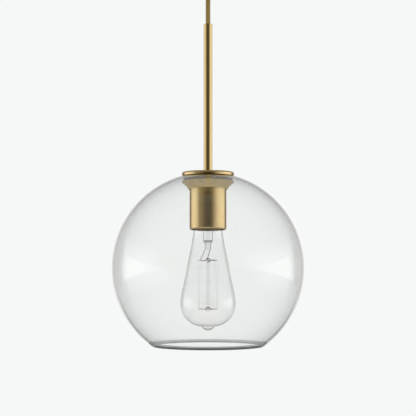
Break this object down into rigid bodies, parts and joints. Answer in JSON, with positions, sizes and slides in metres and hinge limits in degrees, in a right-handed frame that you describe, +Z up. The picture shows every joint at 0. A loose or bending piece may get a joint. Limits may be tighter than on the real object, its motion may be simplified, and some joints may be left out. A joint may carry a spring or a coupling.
{
  "type": "pendant ceiling light",
  "caption": "Clear glass globe pendant light: a slim brass rod hung by a short cord from a round ceiling canopy, with a flared lamp cup and a teardrop filament bulb.",
  "frame": {"origin": "middle of the crossbar's top face, which meets the ceiling box; the canopy rim is in the same plane", "axes": "+Z up into the ceiling along the hanging axis, +X along the crossbar and its slots, -Y the front"},
  "size_m": [0.222, 0.222, 0.4558],
  "materials": {
    "satin_brass": "satin, lacquered, turned and brushed round its axis",
    "plain_brass": "bright machined",
    "base_metal": "rolled, dull bright",
    "zinc_steel": "zinc plated",
    "tinned_copper": "tinned",
    "earth_green": "green dyed plating",
    "contact_bronze": "spring bronze",
    "cord_braid": "fine satin braid",
    "core_brown": "smooth",
    "core_blue": "smooth",
    "core_earth": "smooth",
    "connector_plastic": "moulded",
    "porcelain": "glazed",
    "silicone": "translucent, smooth",
    "globe_glass": "clear, blown",
    "bulb_glass_clear": "clear, blown",
    "base_black_glass": "black glass",
    "solder": "soft solder",
    "nickel_wire": "drawn wire",
    "tungsten": "coiled fine wire"
  },
  "bodies": {
    "root": {"ceiling_canopy": "satin_brass", "mounting_crossbar": "zinc_steel", "canopy_studs": "zinc_steel", "canopy_cap_nuts": "satin_brass", "ground_screw": "earth_green", "earth_ring_terminal": "tinned_copper", "cord_grip_body": "satin_brass", "cord_grip_screw": "zinc_steel", "cord_grip_washer": "zinc_steel", "cord_grip_nut": "plain_brass", "canopy_cord": "cord_braid", "live_lead": "core_brown", "neutral_lead": "core_blue", "earth_lead": "core_earth", "wire_connectors": "connector_plastic"},
    "cord": {"supply_cord": "cord_braid"},
    "pendant": {"stem_tube": "satin_brass", "stem_top_bushing": "plain_brass", "stem_grub_screw": "zinc_steel", "stem_cord": "cord_braid", "shade_cap": "satin_brass", "spacer_bush": "plain_brass", "socket_cup": "satin_brass", "lock_washer": "zinc_steel", "lock_nut": "plain_brass", "holder_bracket": "zinc_steel", "holder_screws": "zinc_steel", "holder_body": "porcelain", "live_terminal": "plain_brass", "neutral_terminal": "plain_brass", "terminal_screws": "zinc_steel", "centre_contact": "contact_bronze", "screw_shell": "plain_brass", "holder_live_lead": "core_brown", "holder_neutral_lead": "core_blue", "holder_earth_lead": "core_earth"},
    "shade": {"glass_globe": "globe_glass", "outer_gasket": "silicone", "inner_gasket": "silicone"},
    "ring": {"gallery_ring": "satin_brass"},
    "bulb_tip": {"bulb_contact": "solder"},
    "bulb": {"bulb_base_insulator": "base_black_glass", "bulb_base_shell": "base_metal", "bulb_glass": "bulb_glass_clear", "mount_tube": "bulb_glass_clear", "support_rod": "bulb_glass_clear", "lead_wires": "nickel_wire", "support_wires": "nickel_wire", "filament": "tungsten"}
  },
  "joints": [
    {"name": "cord_swing", "type": "hinge", "parent": "root", "child": "cord", "pos_m": [0, 0, -0.032], "axis": [1, 0, 0], "range_deg": [-20, 20]},
    {"name": "rod_swing", "type": "hinge", "parent": "cord", "child": "pendant", "pos_m": [0, 0, -0.084], "axis": [0, 1, 0], "range_deg": [-20, 20]},
    {"name": "shade_drop", "type": "slide", "parent": "pendant", "child": "shade", "axis": [0, 0, -1], "range_m": [0, 0.0045]},
    {"name": "ring_turn", "type": "hinge", "parent": "shade", "child": "ring", "pos_m": [0, 0, -0.26359], "axis": [0, 0, -1], "range_deg": [0, 1080.1]},
    {"name": "bulb_drop", "type": "slide", "parent": "pendant", "child": "bulb_tip", "axis": [0, 0, -1], "range_m": [0, 0.01996]},
    {"name": "bulb_turn", "type": "hinge", "parent": "bulb_tip", "child": "bulb", "pos_m": [0, 0, -0.28929], "axis": [0, 0, -1], "range_deg": [0, 1980.1]}
  ],
  "couplings": [
    {"joint": "ring_turn", "follows": "shade_drop", "rad_per_m": 4188.8},
    {"joint": "bulb_turn", "follows": "bulb_drop", "rad_per_m": 1731.4}
  ]
}
